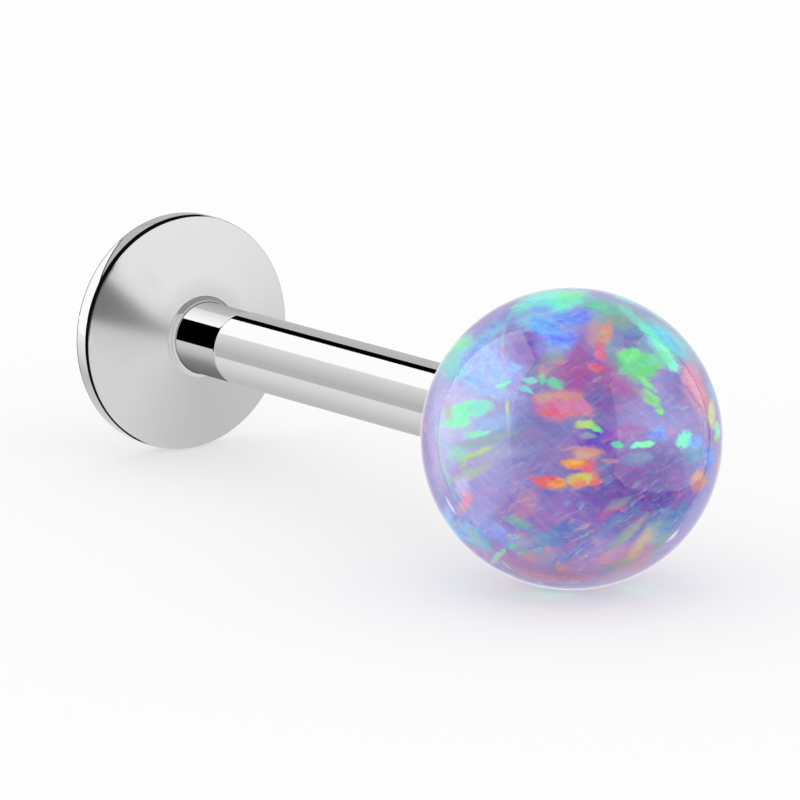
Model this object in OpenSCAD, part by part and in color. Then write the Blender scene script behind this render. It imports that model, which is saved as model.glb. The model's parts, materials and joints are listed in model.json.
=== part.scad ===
// Labret stud: a domed disc with a short neck, a polished post pushed onto that neck, and an opal
// ball whose pin plugs into the post's other end.
// Every piece is turned about the stud's own line, which starts at the middle of the disc's flat
// back. The finished stud is then laid on the plane z = 0, where it rests on the ball and on the
// back edge of the disc. Sizes are in millimetres.

/* [Disc] */
// Diameter of the disc
disc_d = 3.86; // [3:0.02:5]
// Height of the disc's straight rim
rim_h = 0.38; // [0.3:0.02:0.8]
// Radius of the rounded edges of the rim
edge_r = 0.05; // [0.02:0.01:0.1]
// Rise of the domed face from the rim to the neck
dome_h = 0.42; // [0.3:0.02:0.6]
// Radius of the curve that the domed face follows
dome_r = 9; // [5:0.5:20]

/* [Neck] */
// Diameter of the neck that stands on the disc
neck_d = 1.17; // [1.1:0.01:1.2]
// Length of the neck from the domed face to the post
neck_len = 1.2; // [0.6:0.1:1.6]
// Radius of the fillet where the neck meets the disc
root_r = 0.1; // [0.04:0.02:0.2]
// Length of the hidden spigot that holds the post
spigot_len = 1.6; // [0.8:0.1:2]

/* [Post] */
// Diameter of the post, 1.2 for 16 gauge
post_d = 1.2; // [1.2:0.1:1.6]
// Wearing length, from the domed face to the ball
wear_len = 8; // [7:0.5:16]
// Diameter of the bore through the post
bore_d = 0.8; // [0.6:0.05:0.8]
// Width of the chamfer on both ends of the post
chamfer = 0.02; // [0.01:0.01:0.04]

/* [Ball] */
// Diameter of the ball
ball_d = 4.64; // [4:0.02:6]
// Diameter of the flat on the ball that the post's end meets
seat_d = 1.32; // [1.3:0.02:1.8]

/* [Pin] */
// Length of the pin inside the post
pin_in_post = 2.6; // [1.5:0.1:3]
// Length of the pin inside the ball
pin_in_ball = 2.4; // [1.5:0.1:2.6]
// Width of the bevel on both ends of the pin
pin_bevel = 0.08; // [0.02:0.01:0.15]

/* [Fits] */
// Space left all round between one piece and the next
gap = 0.02; // [0.01:0.01:0.03]

/* [Hidden] */
$fn = 96;

disc_r = disc_d / 2;
neck_r = neck_d / 2;
post_r = post_d / 2;
bore_r = bore_d / 2;
pin_r = bore_r - gap;
ball_r = ball_d / 2;
seat_r = seat_d / 2;

// Heights along the stud's own line
root_z = rim_h + dome_h;
neck_z = root_z + neck_len;
post_z0 = neck_z + gap;
seat_z = root_z + wear_len;
post_z1 = seat_z - gap;
ball_z = seat_z + sqrt(ball_r ^ 2 - seat_r ^ 2);

// The lean at which the ball and the back edge of the disc both touch the plane z = 0
edge_line = disc_r - edge_r;
ball_line = ball_z - edge_r;
lean = atan2(ball_line, edge_line) - acos((ball_r - edge_r) / norm([edge_line, ball_line]));

// Where the middle of the disc's back lies once the stud is at rest, with the box of the whole
// stud centred on the origin
back_h = ball_r - ball_z * sin(lean);
back_x = (edge_r - ball_r + edge_line * sin(lean) - (edge_r + ball_z) * cos(lean)) / 2;

// Lays a piece that stands on its own line down into its place at rest
module at_rest() {
    translate([back_x, 0, back_h])
        rotate([0, 90 - lean, 0])
            children();
}

// Half section of the rim, a flat plate with rounded edges
module rim_section() {
    square([edge_line, rim_h]);
    translate([0, edge_r])
        square([disc_r, rim_h - 2 * edge_r]);
    for (z = [edge_r, rim_h - edge_r])
        translate([edge_line, z])
            circle(r = edge_r);
}

// Half section of the dome, under an arc from the rim's edge up to the foot of the neck
module dome_section() {
    foot = [neck_r + root_r, root_z];
    brim = [edge_line, rim_h];
    chord = foot - brim;
    reach = sqrt(dome_r ^ 2 - (norm(chord) / 2) ^ 2);
    centre = (foot + brim) / 2 + reach * [-chord[1], chord[0]] / norm(chord);
    intersection() {
        translate(centre)
            circle(r = dome_r, $fn = 360);
        translate([0, rim_h / 2])
            square([edge_line, root_z]);
    }
}

// Half section of the neck, with the fillet at its foot and the spigot above it
module neck_section() {
    square([neck_r, neck_z]);
    square([pin_r, neck_z + spigot_len]);
    difference() {
        translate([0, rim_h])
            square([neck_r + root_r, dome_h + root_r]);
        translate([neck_r + root_r, root_z + root_r])
            circle(r = root_r);
    }
}

// Disc, neck and spigot, turned from one piece of steel
module base_disc() {
    color("silver")
        at_rest()
            rotate_extrude() {
                rim_section();
                dome_section();
                neck_section();
            }
}

// Straight post, bored right through, with a fine chamfer on both ends
module post_tube() {
    color("gainsboro")
        at_rest()
            rotate_extrude()
                polygon([
                    [bore_r, post_z0],
                    [post_r - chamfer, post_z0],
                    [post_r, post_z0 + chamfer],
                    [post_r, post_z1 - chamfer],
                    [post_r - chamfer, post_z1],
                    [bore_r, post_z1]
                ]);
}

// Plain pin, held in the ball at one end and plugged into the post at the other
module ball_pin() {
    tip_z = seat_z - pin_in_post;
    head_z = seat_z + pin_in_ball;
    color("darkgray")
        at_rest()
            rotate_extrude()
                polygon([
                    [0, tip_z],
                    [pin_r - pin_bevel, tip_z],
                    [pin_r, tip_z + pin_bevel],
                    [pin_r, head_z - pin_bevel],
                    [pin_r - pin_bevel, head_z],
                    [0, head_z]
                ]);
}

// Opal ball with a small flat seat for the post and a blind bore for the pin
module opal_ball() {
    color("thistle")
        at_rest()
            difference() {
                translate([0, 0, ball_z])
                    sphere(r = ball_r);
                translate([0, 0, seat_z - ball_r])
                    cylinder(r = ball_r, h = ball_r);
                translate([0, 0, seat_z - gap])
                    cylinder(r = bore_r, h = pin_in_ball + 2 * gap);
            }
}

base_disc();
post_tube();
ball_pin();
opal_ball();
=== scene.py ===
import json
import math

import bmesh
import bpy
from mathutils import Matrix, Vector


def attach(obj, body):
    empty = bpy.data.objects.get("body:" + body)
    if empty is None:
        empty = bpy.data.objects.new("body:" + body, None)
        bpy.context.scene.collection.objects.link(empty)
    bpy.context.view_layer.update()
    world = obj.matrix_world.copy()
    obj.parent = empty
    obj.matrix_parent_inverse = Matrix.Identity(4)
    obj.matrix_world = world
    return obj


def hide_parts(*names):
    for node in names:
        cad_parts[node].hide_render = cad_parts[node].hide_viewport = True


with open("model.json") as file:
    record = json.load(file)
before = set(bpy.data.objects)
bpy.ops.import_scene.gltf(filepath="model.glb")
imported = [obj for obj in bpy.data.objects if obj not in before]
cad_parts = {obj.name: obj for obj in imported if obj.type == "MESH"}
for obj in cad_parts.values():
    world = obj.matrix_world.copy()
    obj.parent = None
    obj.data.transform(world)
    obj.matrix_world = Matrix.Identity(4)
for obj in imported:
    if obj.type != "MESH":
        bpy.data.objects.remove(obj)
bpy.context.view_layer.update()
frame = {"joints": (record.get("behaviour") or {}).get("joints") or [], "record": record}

mm = 0.001


# where the stud lies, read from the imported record

def mountNamed(name):
    return next(m for m in frame["record"]["mounts"] if m["name"] == name)


backCentre = Vector(mountNamed("disc_back")["pos_m"])
line = Vector(frame["joints"][0]["axis"]).normalized()  # from the disc towards the ball

camera = {
    "azimuth": 55.209,
    "elevation": 13.576,
    "distance": 153.2299,  # mm, as are all lengths in these dictionaries
    "aim": (-0.46713, 0.16481, 1.94631),
    "lens": 437.9,
    "sensor": 36,
    "near": 0.001,  # metres
    "far": 10,
}


def makeCamera():
    az = math.radians(camera["azimuth"])
    el = math.radians(camera["elevation"])
    towards = Vector((math.sin(az) * math.cos(el), -math.cos(az) * math.cos(el), math.sin(el)))
    data = bpy.data.cameras.new("camera")
    data.sensor_width = camera["sensor"]
    data.lens = camera["lens"]
    data.clip_start = camera["near"]
    data.clip_end = camera["far"]
    obj = bpy.data.objects.new("camera", data)
    bpy.context.scene.collection.objects.link(obj)
    obj.location = (Vector(camera["aim"]) + towards * camera["distance"]) * mm
    obj.rotation_mode = "QUATERNION"
    obj.rotation_quaternion = (-towards).to_track_quat("-Z", "Y")
    bpy.context.scene.camera = obj
    return towards


towardsCamera = makeCamera()

# the stud's own axes: side points from the line to the camera's side, under points below it
side = (towardsCamera - line * towardsCamera.dot(line)).normalized()
under = line.cross(side)


def lineMatrix():
    return Matrix.Translation(backCentre) @ Matrix((side, under, line)).transposed().to_4x4()


print("camera and the stud's line are set")


# shader maths: a wire is one socket's output, and plain arithmetic on it adds Math nodes

def maths(operation, reverse=False):
    def calc(self, other):
        sockets = {0: other, 1: self} if reverse else {0: self, 1: other}
        return self.finish.add("ShaderNodeMath", {"operation": operation}, sockets)
    return calc


class Wire:
    def __init__(self, finish, socket):
        self.finish = finish
        self.socket = socket

    __add__ = __radd__ = maths("ADD")
    __mul__ = __rmul__ = maths("MULTIPLY")
    __sub__ = maths("SUBTRACT")
    __rsub__ = maths("SUBTRACT", reverse=True)
    __truediv__ = maths("DIVIDE")
    __rtruediv__ = maths("DIVIDE", reverse=True)
    __pow__ = maths("POWER")
    __rpow__ = maths("POWER", reverse=True)
    __gt__ = maths("GREATER_THAN")
    __lt__ = maths("LESS_THAN")


class Sheet:
    def __init__(self, owner, surface):
        owner.use_nodes = True
        self.tree = owner.node_tree
        self.surface = self.tree.nodes[surface]

    def add(self, kind, settings=None, sockets=None, out=0):
        node = self.tree.nodes.new(kind)
        for key, value in (settings or {}).items():
            if key == "stops":
                self.setStops(node.color_ramp, value)
            else:
                setattr(node, key, value)
        for key, value in (sockets or {}).items():
            self.feed(node.inputs[key], value)
        return Wire(self, node.outputs[out])

    def setStops(self, ramp, stops):
        while len(ramp.elements) > 1:
            ramp.elements.remove(ramp.elements[-1])
        for i, (place, colour) in enumerate(stops):
            stop = ramp.elements[0] if i == 0 else ramp.elements.new(place)
            stop.position = place
            stop.color = (*colour, 1)

    def feed(self, socket, value):
        if isinstance(value, Wire):
            self.tree.links.new(value.socket, socket)
        elif socket.type == "RGBA" and len(value) == 3:
            socket.default_value = (*value, 1)
        else:
            socket.default_value = value

    def split(self, vector):
        first = self.add("ShaderNodeSeparateXYZ", None, {0: vector})
        return [Wire(self, output) for output in first.socket.node.outputs]

    def vector(self, operation, first, second=(0, 0, 0)):
        return self.add("ShaderNodeVectorMath", {"operation": operation}, {0: first, 1: second})

    def stretch(self, coords, scale):
        return self.add("ShaderNodeMapping", None, {"Vector": coords, "Scale": scale})

    def swing(self, coords, degrees):
        sockets = {"Vector": coords, "Angle": math.radians(degrees)}
        turned = self.add("ShaderNodeVectorRotate", {"rotation_type": "Z_AXIS"}, sockets)
        return self.vector("ADD", turned)

    def noise(self, coords, scale, detail, roughness, out=0):
        sockets = {"Vector": coords, "Scale": scale, "Detail": detail, "Roughness": roughness}
        return self.add("ShaderNodeTexNoise", None, sockets, out)

    def blend(self, amount, first, second):
        return self.add("ShaderNodeMix", {"data_type": "RGBA"}, {0: amount, 6: first, 7: second}, 2)

    def ramp(self, value, low, high, toLow=0.0, toHigh=1.0, kind="SMOOTHSTEP"):
        sockets = {"Value": value, "From Min": low, "From Max": high, "To Min": toLow, "To Max": toHigh}
        return self.add("ShaderNodeMapRange", {"interpolation_type": kind}, sockets)

    def length(self, vector):
        return self.add("ShaderNodeVectorMath", {"operation": "LENGTH"}, {0: vector}, "Value")

    def set(self, **sockets):
        for key, value in sockets.items():
            self.feed(self.surface.inputs[key], value)


class Finish(Sheet):
    def __init__(self, name):
        self.material = bpy.data.materials.new(name)
        super().__init__(self.material, "Principled BSDF")

    def place(self, spot=None, unit=mm):
        # coordinates along the stud's own axes, or along those of another matrix
        spot = spot or lineMatrix()
        sockets = {
            "Vector": self.add("ShaderNodeTexCoord", out="Object"),
            "Location": tuple(spot.translation),
            "Rotation": tuple(spot.to_euler()),
            "Scale": (unit, unit, unit),
        }
        return self.add("ShaderNodeMapping", {"vector_type": "TEXTURE"}, sockets)


# turned pieces: a half section in millimetres, spun about the stud's own line

def arc(centre, radius, start, end, steps):
    points = []
    for i in range(steps + 1):
        angle = math.radians(start + (end - start) * i / steps)
        points.append((centre[0] + radius * math.cos(angle), centre[1] + radius * math.sin(angle)))
    return points


def turned(name, section, sides, closed=False, sharp=25):
    mesh = bmesh.new()
    spin = lineMatrix()
    rings = []
    for radius, z in section:
        if radius < 1e-6:  # a point on the line
            rings.append([mesh.verts.new(spin @ Vector((0, 0, z * mm)))])
            continue
        ring = []
        for k in range(sides):
            angle = 2 * math.pi * k / sides
            spot = Vector((radius * math.cos(angle), radius * math.sin(angle), z)) * mm
            ring.append(mesh.verts.new(spin @ spot))
        rings.append(ring)
    pairs = list(zip(rings, rings[1:]))
    if closed:
        pairs.append((rings[-1], rings[0]))
    for low, high in pairs:
        for k in range(sides):
            n = (k + 1) % sides
            if len(low) == 1:
                mesh.faces.new((low[0], high[n], high[k]))
            elif len(high) == 1:
                mesh.faces.new((low[k], low[n], high[0]))
            else:
                mesh.faces.new((low[k], low[n], high[n], high[k]))
    bmesh.ops.recalc_face_normals(mesh, faces=mesh.faces)
    for face in mesh.faces:
        face.smooth = True
    for edge in mesh.edges:
        if edge.calc_face_angle(0) > math.radians(sharp):
            edge.smooth = False
    data = bpy.data.meshes.new(name)
    mesh.to_mesh(data)
    mesh.free()
    obj = bpy.data.objects.new(name, data)
    bpy.context.scene.collection.objects.link(obj)
    return obj


def dress(obj, finish, body, slot, *nodes):
    obj.data.materials.append(finish.material)
    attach(obj, body)
    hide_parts(*nodes)
    print(f"{obj.name} is turned")


# the disc: flat back, faintly crowned rim with rounded edges, and a satin dome up to the collar

disc = {
    "radius": 1.93,
    "rim": 0.38,
    "edge": 0.05,
    "crown": 0.0043,
    "rise": 0.42,
    "domeArc": 9.0,
    "foot": 0.685,
    "tuck": 0.07,  # how far the dome runs on under the collar
    "backRings": (0.6, 1.2, 1.85),
    "rimAngles": (4, 66),  # of the rounded edges at the crown, and of the front one at the dome
    "rimSteps": 16,
    "sides": 288,
    "steel": (0.78, 0.78, 0.785),
    "cloudy": 0.98,
    # painted reflection: the dark tone of the line on the front edge
    "paintedEdgeReflection": (0.004, 0.004, 0.004),
    # painted shade: the dark tone of the rounded back edge
    "paintedRearShadeTone": (0.22, 0.22, 0.22),
    "backSteel": (0.66, 0.66, 0.665),
    # painted shade: the dome's tone by the neck
    "paintedNeckShadeTone": (0.67, 0.67, 0.675),
    "domeRough": 0.22,
    "brimRough": 0.16,
    "rimRough": 0.04,
    "backRough": 0.30,
    "roughFrom": (0.8, 1.8),
    "grain": 9,
    "grainDepth": 0.03,
    # where each finish, and the painted shade on the rounded back edge, starts and is full: from the rim's
    # top, or in radii of the rounded edge
    "domeFrom": (-0.012, 0.004),
    "backFrom": (0.6, 0.1),
    "rearHeight": (1.25, 1.15),
    "rearRadius": (0.5, 0.7),
    # the painted reflection, a dark line on the front edge: its lower side under the edge, its outer side,
    # and how it fades
    "lineUnder": (0.040, 0.036),
    "lineRadius": (0.59, 0.65),
    "lineFade": (0.05, 0.4),
    "lineSway": 0.008,
    "swayFrom": (0.1, 1.2),
    # the painted shade on the dome by the neck
    "shadeRadius": (1.05, 0.70),
    "shadeSide": (0.5, -0.2),
}


def discSection():
    r, e, rim = disc["radius"], disc["edge"], disc["rim"]
    points = [(0, 0)] + [(ring, 0) for ring in disc["backRings"]]
    ends = r - disc["crown"] - e
    low, high = disc["rimAngles"]
    points += arc((ends, e), e, -90, -low, 10)
    for i in range(1, disc["rimSteps"]):
        t = 2 * i / disc["rimSteps"] - 1
        points.append((r - disc["crown"] * t * t, rim / 2 + t * (rim / 2 - e)))
    points += arc((ends, rim - e), e, low, high, 12)
    brim = Vector(points[-1])
    foot = Vector((disc["foot"], rim + disc["rise"]))
    chord = foot - brim
    reach = math.sqrt(disc["domeArc"] ** 2 - (chord.length / 2) ** 2)
    middle = (foot + brim) / 2 + reach * Vector((-chord.y, chord.x)) / chord.length
    start = math.degrees(math.atan2(brim.y - middle.y, brim.x - middle.x))
    end = math.degrees(math.atan2(foot.y - middle.y, foot.x - middle.x))
    points += arc(middle, disc["domeArc"], start, end, 24)[1:]
    top = foot.y + disc["tuck"] / math.tan(math.radians(end))
    return points + [(disc["foot"] - disc["tuck"], top), (0, top)]


def discFinish():
    f = Finish("satin disc steel")
    coords = f.place()
    x, y, z = f.split(coords)
    radius = f.length(f.vector("MULTIPLY", coords, (1, 1, 0)))
    r, e, rim = disc["radius"], disc["edge"], disc["rim"]
    ends = r - disc["crown"] - e
    onDome = f.ramp(z, *[rim + start for start in disc["domeFrom"]])
    onBack = f.ramp(z, *[e * start for start in disc["backFrom"]])
    # the painted reflection, a dark line, is widest above and fades out away from the camera's side
    sway = y * f.ramp(x, *disc["swayFrom"]) * disc["lineSway"]
    paintedEdgeLine = f.ramp(z, *[rim - e - start for start in disc["lineUnder"]]) * f.ramp(x, *disc["lineFade"])
    paintedEdgeLine = paintedEdgeLine * f.ramp(radius - sway, *[ends + e * start for start in disc["lineRadius"]])
    # painted shade on the dome by the neck, darker on one side
    paintedNeckShade = onDome * f.ramp(radius, *disc["shadeRadius"]) * f.ramp(y, *disc["shadeSide"])
    # painted shade: the rounded back edge is painted dark
    paintedRearShade = f.ramp(z, *[e * start for start in disc["rearHeight"]])
    paintedRearShade = paintedRearShade * f.ramp(radius, *[ends + e * start for start in disc["rearRadius"]])
    grain = f.noise(f.stretch(coords, (disc["grain"],) * 3), 1.0, 3.0, 0.6)
    cloud = f.noise(coords, 0.9, 2.0, 0.5)
    tone = f.blend(cloud, disc["steel"], [c * disc["cloudy"] for c in disc["steel"]])
    tone = f.blend(paintedNeckShade, tone, disc["paintedNeckShadeTone"])
    tone = f.blend(onBack, tone, disc["backSteel"])
    tone = f.blend(paintedRearShade, tone, disc["paintedRearShadeTone"])
    domeRough = f.ramp(radius, *disc["roughFrom"], disc["domeRough"], disc["brimRough"], "LINEAR")
    rough = disc["rimRough"] + (domeRough - disc["rimRough"]) * onDome
    rough = rough + (disc["backRough"] - disc["rimRough"]) * onBack
    rough = rough + (grain - 0.5) * disc["grainDepth"] * onDome
    f.set(**{
        "Base Color": f.blend(paintedEdgeLine, tone, disc["paintedEdgeReflection"]),
        "Metallic": 1 - paintedEdgeLine,
        "Roughness": rough,
        "Specular IOR Level": 0.0,
    })
    return f


discPiece = turned("disc", discSection(), disc["sides"])
dress(discPiece, discFinish(), "shank", "disc_steel", "base_disc")

# the collar: the soft fillet round the neck's foot, with painted shade and painted highlight lines in it

collar = {
    "inner": 0.585,
    "round": 0.12,
    "lean": 15.3,
    "seat": 0.806,
    "sides": 192,
    "steel": (0.78, 0.78, 0.785),
    # tones of the painted lines: grey and dark are painted shade, bright is a painted highlight
    "grey": (0.58, 0.58, 0.585),
    "bright": (0.92, 0.92, 0.92),
    "dark": (0.44, 0.44, 0.44),
    "rough": 0.08,
    "tuck": 0.04,  # how far the ring's hidden side lies inside the neck
    "bed": 0.02,  # and how deep it lies in the dome
    "hidden": (0.006, 0.01),  # its lower edge is narrower, and its upper one higher, than the fillet
    "uneven": 0.004,
    "unevenScale": 9.0,
    "roughScale": 20.0,
    "roughDepth": 0.02,
    # painted shade where the collar meets the dome
    "paintedOuterShade": (0.657, 0.667),
    # painted lines, a grey painted shade line and a bright painted highlight line: the radii where each
    # starts and is full, then where it ends, and its tone
    "lines": [
        ((0.6085, 0.612), (0.617, 0.6135), "grey"),
        ((0.591, 0.594), (0.606, 0.603), "bright"),
    ],
    # painted shade in the crease by the neck
    "paintedInnerShade": (0.592, 0.589),
}


def collarSection():
    r, inner, seat = collar["round"], collar["inner"], collar["seat"]
    top = seat + r * math.cos(math.radians(collar["lean"]))
    points = arc((inner + r, top), r, 270 - collar["lean"], 180, 16)
    outer = points[0][0]
    low, back = seat - collar["bed"], inner - collar["tuck"]
    step, rise = collar["hidden"]
    return [(back, low), (outer - step, low)] + points + [(back, top + rise)]


def collarFinish():
    f = Finish("collar steel")
    coords = f.place()
    radius = f.length(f.vector("MULTIPLY", coords, (1, 1, 0)))
    uneven = radius + (f.noise(coords, collar["unevenScale"], 2.0, 0.5) - 0.5) * collar["uneven"]
    # painted shade where the collar meets the dome
    tone = f.blend(f.ramp(uneven, *collar["paintedOuterShade"]), collar["steel"], collar["grey"])
    # a painted shade line and a painted highlight line
    for start, end, steel in collar["lines"]:
        tone = f.blend(f.ramp(uneven, *start) * f.ramp(uneven, *end), tone, collar[steel])
    # painted shade in the crease by the neck
    tone = f.blend(f.ramp(radius, *collar["paintedInnerShade"]), tone, collar["dark"])
    grain = f.noise(coords, collar["roughScale"], 2.0, 0.5)
    f.set(**{
        "Base Color": tone,
        "Metallic": 1.0,
        "Roughness": collar["rough"] + (grain - 0.5) * collar["roughDepth"],
    })
    return f


collarPiece = turned("collar", collarSection(), collar["sides"], closed=True, sharp=50)
dress(collarPiece, collarFinish(), "shank", "disc_steel", "base_disc")

# the neck: straight polished stem with a spigot inside the post

neck = {
    "radius": 0.585,
    "base": 0.74,
    "top": 2.0,
    "round": 0.012,
    "middle": 1.2,
    "spigot": 0.38,
    "spigotEnd": 3.6,
    "spigotBevel": 0.05,
    "sides": 192,
    "steel": (0.80, 0.80, 0.81),
    "rough": 0.03,
}


def neckSection():
    r, c, top = neck["radius"], neck["round"], neck["top"]
    spigot, end, bevel = neck["spigot"], neck["spigotEnd"], neck["spigotBevel"]
    points = [(0, neck["base"]), (r, neck["base"]), (r, neck["middle"]), (r, top - c - c), (r, top - c)]
    points += arc((r - c, top - c), c, 0, 90, 5)[1:]
    return points + [(spigot, top), (spigot, end - bevel), (spigot - bevel, end), (0, end)]


polish = {
    "lines": (9, 9, 0.5),  # faint lines along the stem
    "depth": 0.015,
    "cloud": 0.8,
    "cloudy": 0.985,
}


def polishedFinish(name, tone, rough):
    f = Finish(name)
    coords = f.place()
    draw = f.noise(f.stretch(coords, polish["lines"]), 1.0, 3.0, 0.6)
    cloud = f.noise(coords, polish["cloud"], 2.0, 0.5)
    f.set(**{
        "Base Color": f.blend(cloud, tone, [c * polish["cloudy"] for c in tone]),
        "Metallic": 1.0,
        "Roughness": rough + (draw - 0.5) * polish["depth"],
    })
    return f


neckPiece = turned("neck", neckSection(), neck["sides"])
neckFinish = polishedFinish("polished neck steel", neck["steel"], neck["rough"])
dress(neckPiece, neckFinish, "shank", "disc_steel", "base_disc")

# the post: a bored tube with fine chamfers

post = {
    "radius": 0.6,
    "bore": 0.4,
    "start": 2.02,
    "end": 8.78,
    "chamfer": 0.02,
    "lip": 0.05,
    "flat": 0.015,  # narrow rings beside the rounded ends keep the reflections straight
    "sides": 192,
    "steel": (0.81, 0.81, 0.815),
    "rough": 0.03,
}


def postSection():
    r, c, start, end = post["radius"], post["chamfer"], post["start"], post["end"]
    points = [(post["bore"], start), (r - c - 0.004, start)]
    for x, z in arc((0, 0), 1, -90, 0, 8):
        points.append((r - c + x * c, start + post["lip"] * (1 + z)))
    points += [(r, start + post["lip"] + post["flat"]), (r, end - c - post["flat"])]
    points += arc((r - c, end - c), c, 0, 90, 6)
    return points + [(post["bore"], end)]


postPiece = turned("post", postSection(), post["sides"], closed=True)
postFinish = polishedFinish("polished post steel", post["steel"], post["rough"])
dress(postPiece, postFinish, "shank", "post_steel", "post_tube")

# the pin that carries the ball

pin = {
    "radius": 0.38,
    "start": 6.2,
    "end": 11.2,
    "bevel": 0.08,
    "middle": 8.7,
    "sides": 96,
    "steel": (0.74, 0.74, 0.75),
    "rough": 0.12,
}


def pinSection():
    r, b, start, end = pin["radius"], pin["bevel"], pin["start"], pin["end"]
    points = [(0, start), (r - b - 0.01, start), (r - b, start + 0.004)]
    points += [(r - 0.004, start + b), (r, start + b + 0.01)]
    return points + [(r, pin["middle"]), (r, end - b), (r - b, end), (0, end)]


pinPiece = turned("ballPin", pinSection(), pin["sides"])
pinFinish = polishedFinish("ball pin steel", pin["steel"], pin["rough"])
dress(pinPiece, pinFinish, "ball_top", "post_steel", "ball_pin")

# the opal ball: flat seat, blind bore, and flakes of colour in a violet body

ball = {
    "radius": 2.32,
    "seat": 0.66,
    "seatHeight": 8.8,
    "bore": 0.4,
    "boreEnd": 11.22,
    "sides": 288,
    "rings": 150,
    "rough": 0.35,
    "coatRough": 0.035,
}
ballHeight = ball["seatHeight"] + math.sqrt(ball["radius"] ** 2 - ball["seat"] ** 2)
ballCentre = backCentre + line * ballHeight * mm

# the face of the ball that the photo shows: x to the right, y up, z towards the camera
faceZ = (bpy.context.scene.camera.location - ballCentre).normalized()
faceX = Vector((0, 0, 1)).cross(faceZ).normalized()
faceY = faceZ.cross(faceX)
faceMatrix = Matrix.Translation(ballCentre) @ Matrix((faceX, faceY, faceZ)).transposed().to_4x4()


def ballSection():
    start = -90 + math.degrees(math.asin(ball["seat"] / ball["radius"]))
    points = [(0, ball["boreEnd"]), (ball["bore"], ball["boreEnd"]), (ball["bore"], ball["seatHeight"])]
    return points + arc((0, ballHeight), ball["radius"], start, 90, ball["rings"])


opal = {
    "violet": (134, 114, 184),
    "deep": (116, 88, 180),
    "grape": (104, 74, 156),
    "mist": (204, 206, 246),
    "mauve": (204, 120, 158),
    "ash": (178, 172, 190),
    "indigo": (104, 68, 188),
    "dusk": (134, 124, 180),
    "slate": (122, 120, 178),
    "fog": (150, 140, 186),
    "lavender": (158, 150, 208),
    "lilac": (168, 152, 214),
    "periwinkle": (156, 184, 250),
    "skyblue": (112, 166, 250),
    "azurepale": (136, 192, 240),
    "sky": (106, 192, 240),
    "azure": (114, 150, 246),
    "aqua": (124, 244, 220),
    "seafoam": (132, 216, 208),
    "mint": (130, 242, 184),
    "seagreen": (104, 212, 160),
    "green": (98, 204, 122),
    "leaf": (116, 228, 130),
    "lime": (172, 212, 116),
    "sage": (140, 168, 160),
    "teal": (98, 150, 190),
    "yellow": (208, 190, 84),
    "gold": (216, 214, 160),
    "orange": (226, 148, 88),
    "coral": (224, 104, 112),
    "rose": (214, 108, 152),
    "pink": (216, 150, 178),
    "plum": (160, 90, 156),
    "rosetan": (196, 140, 164),
    "tan": (206, 150, 136),
    "level": 0.88,
    "wideScale": 3.5,
    "wideWarp": 0.08,
    "fineScale": 16.0,
    "fineWarp": 0.04,
    "paleScale": 1.6,
    "paleFrom": (0.35, 0.65),
    "duskFrom": (-0.25, 0.3, 0, 0.35),
    "ragged": 0.66,
    "raggedScale": 11.0,
    "thread": 0.66,
    "threadScale": (4, 30, 14),
    "threadTurns": (5, -42, 32),  # degrees of the level, the falling and the rising threads
    "steep": 15,  # flakes turned by more than this follow the falling or the rising threads
    "turnStep": 10,  # turns are rounded to this, so that rows share their turned coordinates
    "softer": 1.4,
    "depth": 0.5,
    "leastHeight": 0.03,
    "lineWidth": 0.020,
    "lineWander": 0.02,
    "hueScale": (9, 22, 9),
    "broadScale": 2.4,
    "hueShift": 0.14,
    "saturationShift": 0.4,
    "valueShift": 0.13,
    "roughDepth": 0.1,
    "speckleScale": (5, 9, 5),
    "speckleStops": (0.30, 0.05),  # the first colour's place in the ramp, and the step to the next
    "speckleFrom": (-0.05, 0.25),
    "speckleLow": (-0.2, -0.55, 0.35, 0.9),
    "patchScale": 4.0,
    "patchFrom": (0.38, 0.58),
    "otherSidesFrom": (0.22, 0.02),
    "otherFrayed": 0.30,
    "otherSize": 0.28,
    "otherEdge": (0.34, 0.06),
    "otherChance": (0.34, 0.38),
    "otherStops": (0.05, 0.075),
}

# scattered flakes on the other sides: scale, turn, stretch, strength
otherLayers = [
    (1.7, 20, (1, 1.8, 1.2), 0.75),
    (4.4, -35, (0.8, 2.4, 1.5), 0.95),
]
otherColours = [
    "mint", "green", "aqua", "sky", "azure", "skyblue",
    "coral", "orange", "rose", "yellow", "seafoam", "mint",
]
speckleColours = ["teal", "seagreen", "azurepale", "lavender", "rosetan", "tan", "pink", "mint", "sky"]

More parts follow.
